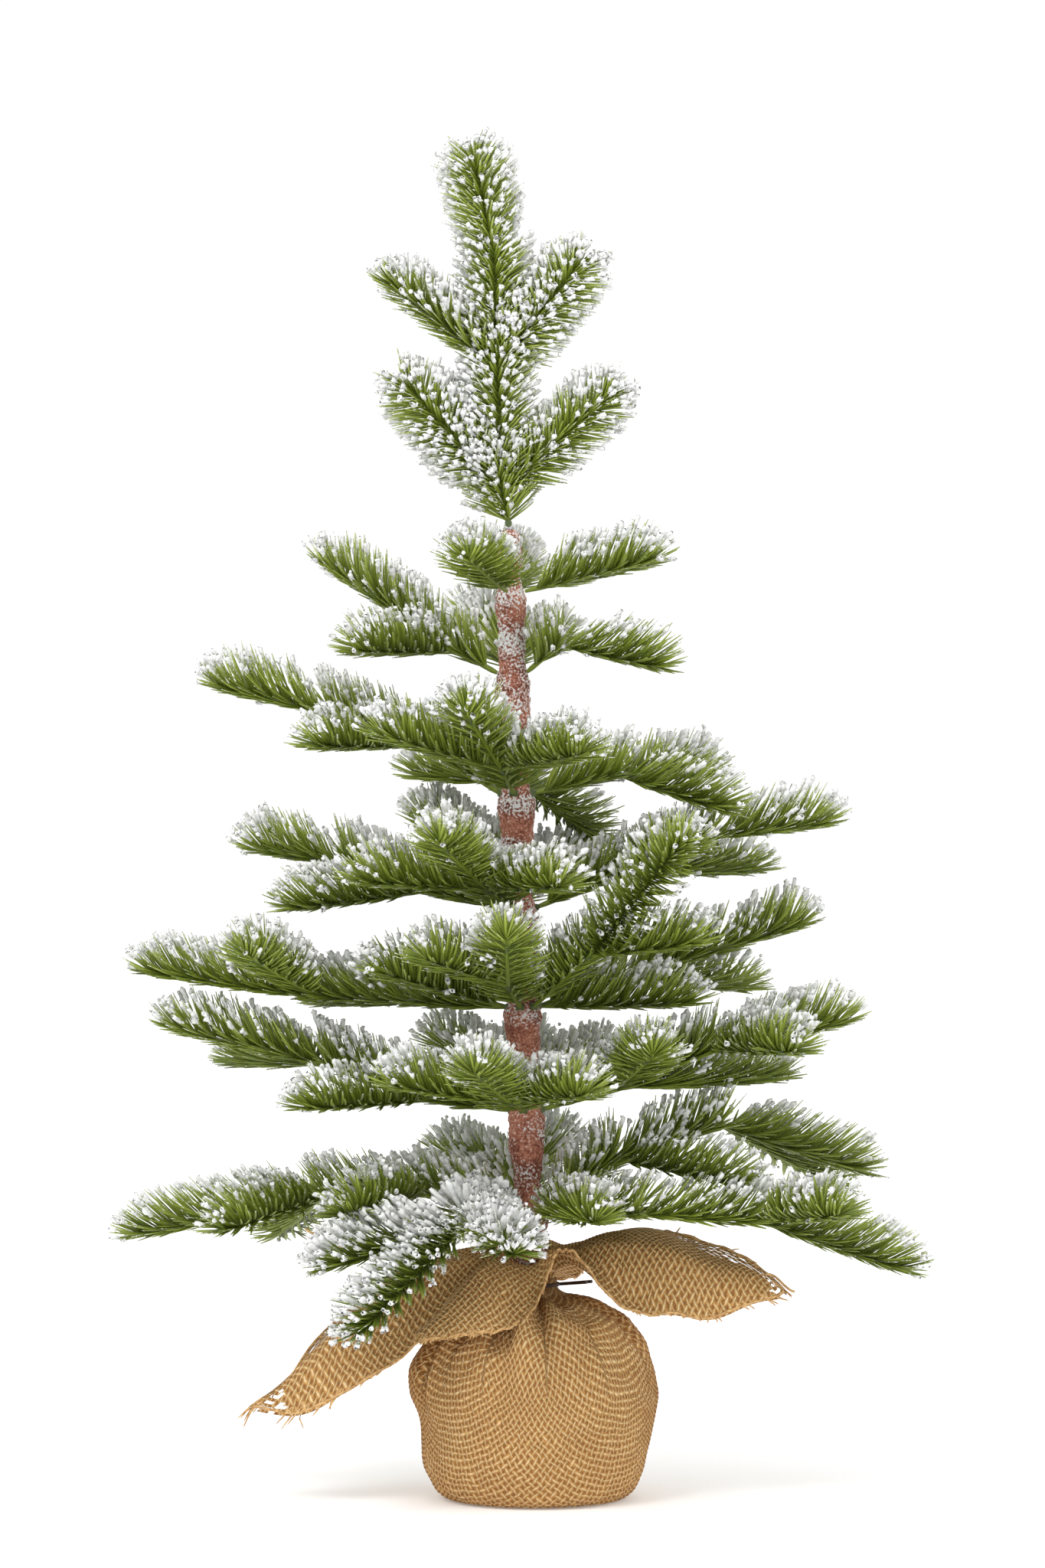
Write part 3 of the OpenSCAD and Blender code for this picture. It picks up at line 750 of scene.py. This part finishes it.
def wrap_bundle(looks):
    """The tied bundle: woven sheet drawn up to the neck, with pleats and dents on its shoulder."""
    _, _, whole = bundle_outline(np.array([0.0]))
    columns = 560
    arc = np.r_[np.linspace(0.0005, 0.036, 8), np.linspace(0.038, whole, 152)]
    azimuth = np.arange(columns) * 360 / columns
    s, az = np.meshgrid(arc, azimuth, indexing="ij")
    radius, height, _ = bundle_outline(s)
    turn = np.radians(az)
    points = np.stack([radius * np.cos(turn), radius * np.sin(turn), height], -1)
    normal = -grid_normals(points, True)
    outward = np.stack([np.cos(turn), np.sin(turn), np.full_like(turn, 0.3)], -1)
    normal *= np.sign((normal * outward).sum(-1))[..., None]
    drawn = smoothstep(0.058, 0.084, height)
    off = np.abs(from_crest(az)) / (pleat_wide / 2)
    uneven = 0.7 + 0.5 * np.sin(turn * 4 + 1) * np.sin(turn * 3)
    push = (0.0022 * (1 - off ** 2) - 0.0030 * off ** 6) * drawn * uneven
    push = push * (0.4 + 0.6 * smoothstep(0.008, 0.03, radius))
    for where, level, wide, tall, depth in DENTS:
        push -= depth * np.exp(-(apart(az, where) / wide) ** 2 - ((height - level) / tall) ** 2)
    side_part = smoothstep(0.006, 0.02, height) * (1 - drawn)
    swell = wave_noise(points.reshape(-1, 3), 21, 0.05).reshape(s.shape)
    push += 0.0009 * swell * side_part
    push = np.maximum(push, -dent_room)
    a, b = weave_at(eased(s), gathered(az, height), stretched_pitch)
    fade = smoothstep(0.012, 0.02, radius)
    push += thread_lift * (weave_height(a, b) - 0.9) * fade
    points = points + normal * push[..., None]
    points[..., 2] = np.maximum(points[..., 2], 0.0002)
    rows = len(arc)
    faces = tube_faces(1, rows, columns)
    r_i, c_i = np.meshgrid(np.arange(rows - 1), np.arange(columns), indexing="ij")
    corner_rows = np.stack([r_i, r_i, r_i + 1, r_i + 1], -1)
    corner_cols = np.stack([c_i, c_i + 1, c_i + 1, c_i], -1)
    level = bundle_outline(arc)[1]
    flat_azimuth = gathered(corner_cols * 360 / columns, level[corner_rows])
    wa, wb = weave_at(eased(arc[corner_rows]), flat_azimuth, stretched_pitch)
    bake = np.stack([corner_cols / columns, corner_rows / (rows - 1)], -1)
    piece = mesh_object("burlap_bundle", points.reshape(-1, 3), faces, looks, None,
                        {"OFBake": bake.reshape(-1, 2), "weave": np.stack([wa, wb], -1).reshape(-1, 2)})
    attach(piece, "stand")
    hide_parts("burlap_wrap")


def round_table(table, column, azimuth):
    """A column of a table of azimuths, joined round the circle by smooth steps."""
    rows = np.array(table)
    order = np.argsort(rows[:, 0])
    rows = rows[order]
    x = np.r_[rows[-1, 0] - 360, rows[:, 0], rows[0, 0] + 360, rows[1, 0] + 360]
    y = np.r_[rows[-1, column], rows[:, column], rows[0, column], rows[1, column]]
    fine = np.arange(0, 360, 0.5)
    line = np.interp(fine, x, y)
    kernel = np.hanning(19)
    kernel /= kernel.sum()
    line = np.convolve(np.r_[line[-9:], line, line[:9]], kernel, "valid")
    return np.interp(azimuth % 360, np.r_[fine, 360], np.r_[line, line[0]])


def collar_surface(az, s):
    """A place on the loose collar: azimuth, and share of the way from the neck to the hem."""
    reach = round_table(HEM, 1, az)
    edge = round_table(HEM, 2, az)
    foot = neck_z + 0.004
    turn = np.radians(az)
    radius = neck_r * 0.92 + (reach - neck_r) * s
    long_part = smoothstep(0.03, 0.12, reach)
    height = foot + (edge - foot) * s ** 1.25 + (0.009 + 0.011 * long_part) * np.sin(math.pi * s ** 0.62)
    folds = np.sin(turn * 9 + 1.1 * np.sin(turn * 2)) + 0.6 * np.sin(turn * 15 + 1)
    height += 0.0030 * folds * s * (1.15 - s) * smoothstep(0.0, 0.06, radius)
    height += 0.0016 * np.sin(radius * 150 + turn * 4) * s
    return np.stack([radius * np.cos(turn), radius * np.sin(turn), height], -1)


def spread_collar(looks):
    """The loose collar: two faces of one woven sheet joined at the hem, with holes where it is frayed."""
    columns, rows = 520, 76
    azimuth = np.arange(columns) * 360 / columns
    share = np.linspace(0, 1, rows)
    s, az = np.meshgrid(share, azimuth, indexing="ij")
    points = collar_surface(az, s)
    normal = grid_normals(points, True)
    reach = neck_r + (round_table(HEM, 1, az) - neck_r) * s * drape
    a, b = weave_at(reach, az)
    lift = thread_lift * (weave_height(a, b) - 0.6) + 0.0001
    lift *= smoothstep(0, 0.1, s) * smoothstep(0.05, 0.03, np.hypot(points[..., 0], points[..., 1]))
    above = points + normal * lift[..., None]
    below = points - normal * (lift[..., None] + 0.0002)
    grid = np.arange(rows * columns).reshape(rows, columns)
    quad = tube_faces(1, rows, columns)
    r_i, c_i = np.meshgrid(np.arange(rows - 1), np.arange(columns), indexing="ij")
    frayed = np.maximum(smoothstep(20, 6, apart(az, 4)), smoothstep(16, 5, apart(az, 180)))
    hem_gap = (1 - s) * round_table(HEM, 1, az)
    gap_a = 0.5 + 0.5 * np.cos(2 * math.pi * a)
    gap_b = 0.5 + 0.5 * np.cos(2 * math.pi * b)
    hole = (gap_a < 0.62) & (gap_b < 0.62) & (hem_gap < 0.020 * frayed) & (frayed > 0.25)
    keep = ~hole[:-1].reshape(-1)
    total = rows * columns
    rim = grid[-1]
    rim_next = np.roll(rim, -1)
    rim_faces = np.stack([rim, rim_next, rim_next + total, rim + total], -1)
    faces = np.concatenate([quad[keep], quad[keep][:, ::-1] + total, rim_faces])
    corner_rows = np.stack([r_i, r_i, r_i + 1, r_i + 1], -1).reshape(-1, 4)[keep]
    corner_cols = np.stack([c_i, c_i + 1, c_i + 1, c_i], -1).reshape(-1, 4)[keep]
    span = (round_table(HEM, 1, corner_cols * 360 / columns) - neck_r) * drape
    wa, wb = weave_at(neck_r + span * share[corner_rows], corner_cols * 360 / columns)
    weave = np.stack([wa, wb], -1)
    half = np.stack([corner_cols / columns, corner_rows / (rows - 1) * 0.48], -1)
    column = np.arange(columns)
    edge_cols = np.stack([column, column + 1, column + 1, column], -1)
    edge_v = np.tile(np.array([0.99, 0.99, 1.0, 1.0]), (columns, 1))
    rim_bake = np.stack([edge_cols / columns, edge_v], -1)
    ea, eb = weave_at(neck_r + (round_table(HEM, 1, edge_cols * 360 / columns) - neck_r) * drape,
                      edge_cols * 360 / columns)
    bake = np.concatenate([half, half[:, ::-1] + np.array([0, 0.495]), rim_bake])
    threads = np.concatenate([weave, weave[:, ::-1], np.stack([ea, eb], -1)])
    both = np.concatenate([above.reshape(-1, 3), below.reshape(-1, 3)])
    piece = mesh_object("burlap_collar", both, faces, looks, None,
                        {"OFBake": bake.reshape(-1, 2), "weave": threads.reshape(-1, 2)})
    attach(piece, "stand")


def fray_hem():
    """Threads at the hem: one pulled straight along it, a fringe of short ends, and two long loose ones."""
    rng = np.random.default_rng(7)
    bundle = Bundle()
    thread_r = 0.0006
    fringe_r = 0.00055

    def lay(paths, radii, flat, sides):
        """Adds threads, which have no snow and one tint."""
        plain = np.zeros(radii.shape)
        bundle.add(swept(paths, radii, flat, sides), plain, plain)

    az = np.linspace(0, 360, 361)
    line = collar_surface(az, np.full(361, 0.985))
    line[:, 2] += 0.0006 * np.sin(np.arange(361) * 0.9)
    lay(line[None], np.full((1, 361), thread_r), 1.0, 6)
    count = 300
    where = rng.uniform(0, 360, count)
    frayed = np.maximum(smoothstep(24, 8, apart(where, 4)), smoothstep(22, 8, apart(where, 184)))
    rows = 6
    t = np.linspace(0, 1, rows)
    root = collar_surface(where, np.full(count, 0.955))
    edge = collar_surface(where, np.full(count, 1.0))
    beside = collar_surface(where + 1.5, np.full(count, 1.0))
    out = unit(edge - root)
    along = unit(beside - edge)
    size = rng.uniform(0.0003, 0.0013, count) + 0.0065 * frayed * rng.uniform(0.3, 1, count)
    aim = unit(out + along * rng.normal(0, 0.5, count)[:, None] + rng.normal(0, 0.25, (count, 3)))
    paths = root[:, None, :] + (edge - root)[:, None, :] * np.minimum(t * 2, 1)[None, :, None]
    paths = paths + aim[:, None, :] * (np.maximum(t - 0.5, 0) * 2)[None, :, None] * size[:, None, None]
    paths[:, :, 2] -= (t ** 2)[None, :] * size[:, None] * 0.4
    thin = np.array([1.0, 1.0, 0.95, 0.85, 0.7, 0.4]) * fringe_r
    lay(paths, np.tile(thin, (count, 1)), 0.8, 5)
    # two long loose threads: one above the left flap, one drawn from the tip of the right flap
    for start, way, size in (((-0.084, -0.030, 0.112), (-0.75, -0.15, 0.55), 0.021),
                             ((0.100, -0.012, 0.100), (1.0, 0.0, -0.35), 0.016)):
        t = np.linspace(0, 1, 12)
        path = np.array(start) + np.outer(t * size, unit(np.array(way)))
        path[:, 2] += 0.002 * np.sin(t * 5)
        lay(path[None], np.full((1, 12), thread_r), 1.0, 6)
    piece = bundle.build("burlap_threads", thread_material())
    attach(piece, "stand")


# ---------------------------------------------------------------- the rest
def dress_cad():
    """Materials for the CAD nodes that stay in view."""
    wire = plain_material("coated_wire", (0.055, 0.085, 0.022), (0.12, 0.16, 0.05), 300, 0.5)
    tie = plain_material("tie_coating", (0.028, 0.016, 0.012), (0.065, 0.035, 0.022), 260, 0.45)
    cement = plain_material("cast_cement", (0.30, 0.29, 0.27), (0.44, 0.43, 0.40), 180, 0.95, depth=0.0006)
    liner = plain_material("thin_plastic", (0.72, 0.72, 0.70), (0.80, 0.80, 0.78), 40, 0.4)
    steel = plain_material("drawn_steel", (0.30, 0.30, 0.31), (0.42, 0.42, 0.43), 220, 0.35, metallic=1.0)
    inner = {"neck_tie": (tie, "tie"), "cement_weight": (cement, "cement"),
             "base_liner": (liner, "liner"), "centre_rod": (steel, "steel")}
    for name, obj in frame["nodes"].items():
        if name.startswith("wire_") or name == "leader_wire":
            looks, slot = wire, "branch_wire"
        elif name in inner:
            looks, slot = inner[name]
        else:
            continue
        obj.data.materials.clear()
        obj.data.materials.append(looks)


def area_light(name, place, target, size, power):
    """A square soft light aimed at a target."""
    data = bpy.data.lights.new(name, "AREA")
    data.size = size
    data.energy = power
    obj = bpy.data.objects.new(name, data)
    bpy.context.scene.collection.objects.link(obj)
    obj.location = place
    obj.rotation_euler = (Vector(target) - Vector(place)).to_track_quat("-Z", "Y").to_euler()


def light_studio():
    """Pale floor, pale surroundings and two soft lights."""
    world = bpy.data.worlds.new("studio")
    bpy.context.scene.world = world
    world.use_nodes = True
    back = world.node_tree.nodes["Background"]
    back.inputs["Color"].default_value = (1, 1, 1, 1)
    back.inputs["Strength"].default_value = 1.02
    half = 12.0
    floor_points = [(-half, -half, 0), (half, -half, 0), (half, half, 0), (-half, half, 0)]
    mat, nodes, links, shader = new_material("pale_floor")
    links.new(ramp(nodes, links, noise(nodes, links, 3, 2, coordinates(nodes)),
                   [(0.3, (0.90, 0.90, 0.90)), (0.7, (0.92, 0.92, 0.92))]), shader.inputs["Base Color"])
    shader.inputs["Roughness"].default_value = 0.9
    shader.inputs["Emission Color"].default_value = (1, 1, 1, 1)
    shader.inputs["Emission Strength"].default_value = 0.18
    floor = mesh_object("floor", floor_points, [(0, 1, 2, 3)], mat, smooth=False)
    area_light("key", (-0.7, -1.0, 1.5), (0, 0, 0.3), 0.7, 15)
    area_light("fill", (1.2, -1.3, 0.8), (0, 0, 0.3), 1.2, 4)


def place_camera():
    """The photographer's place: level, in front, a little above the middle of the tree."""
    distance = 2.10
    height = 0.28
    frame_tall = 0.699
    frame_middle_x = -0.0056
    frame_middle_z = 0.3181
    data = bpy.data.cameras.new("camera")
    sensor_mm = 36
    data.sensor_width = sensor_mm
    data.lens = sensor_mm * distance / frame_tall
    data.shift_x = frame_middle_x / frame_tall
    data.shift_y = (frame_middle_z - height) / frame_tall
    data.clip_end = 60
    obj = bpy.data.objects.new("camera", data)
    bpy.context.scene.collection.objects.link(obj)
    obj.location = (0, -distance, height)
    obj.rotation_euler = (math.pi / 2, 0, 0)
    bpy.context.scene.camera = obj


weave = weave_material()
grow_branches()
wind_tape()
wrap_bundle(weave)
spread_collar(weave)
fray_hem()
dress_cad()
light_studio()
place_camera()
bpy.context.scene.view_settings.view_transform = "Standard"
